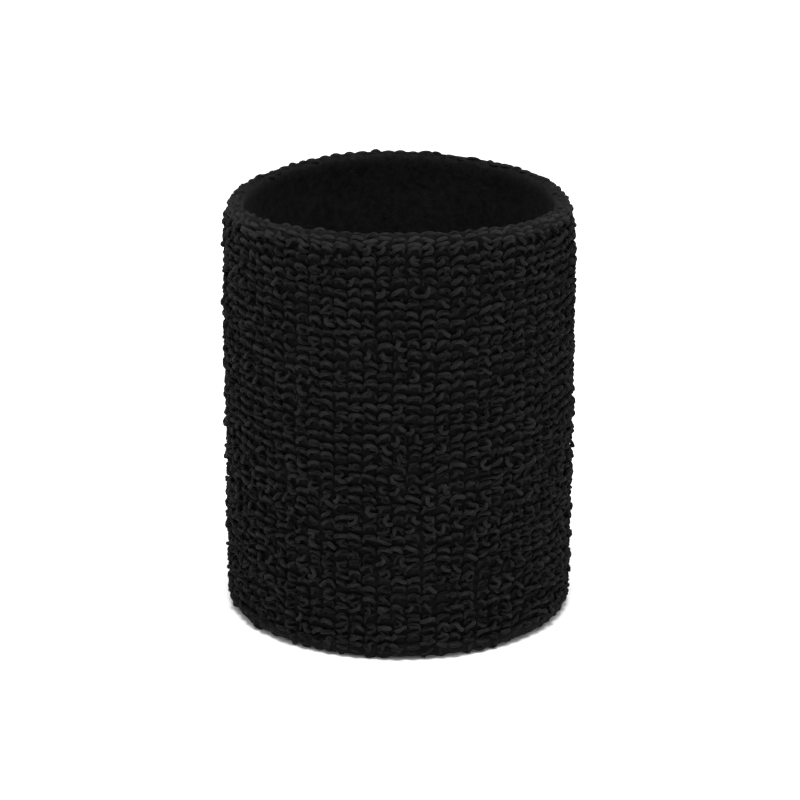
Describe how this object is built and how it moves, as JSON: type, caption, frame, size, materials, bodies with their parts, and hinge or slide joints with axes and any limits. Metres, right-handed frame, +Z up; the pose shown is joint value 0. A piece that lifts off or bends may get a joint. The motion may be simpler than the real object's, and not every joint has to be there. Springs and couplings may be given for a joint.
{
  "type": "sweat wristband",
  "caption": "Black terry knit sweat wristband: a double-walled elastic tube with rounded folded ends that slips over the hand and grips the wrist.",
  "frame": {"origin": "centre of the circle that the lower fold stands on, on the surface it stands on", "axes": "+Z up, along the arm and the axis of the band; X and Y are alike, because the band is a body of revolution"},
  "size_m": [0.062, 0.062, 0.075],
  "materials": {
    "cotton_pile": "black cotton terry loops, matt and slightly fuzzy",
    "ground_knit": "black textured nylon, plain knit",
    "elastic_thread": "black covered elastic thread",
    "seam_thread": "black spun polyester sewing thread"
  },
  "bodies": {
    "root": {"outer_wall_pile": "cotton_pile", "upper_turn_in_pile": "cotton_pile", "lower_turn_in_pile": "cotton_pile", "upper_fold_pile": "cotton_pile", "lower_fold_pile": "cotton_pile", "outer_wall_ground_knit": "ground_knit", "upper_turn_in_ground_knit": "ground_knit", "lower_turn_in_ground_knit": "ground_knit", "upper_fold_ground_knit": "ground_knit", "lower_fold_ground_knit": "ground_knit", "outer_wall_elastic_thread": "elastic_thread", "upper_turn_in_elastic_thread": "elastic_thread", "lower_turn_in_elastic_thread": "elastic_thread", "closing_seam_stitches": "seam_thread", "closing_seam_looper_threads": "seam_thread"}
  },
  "joints": []
}
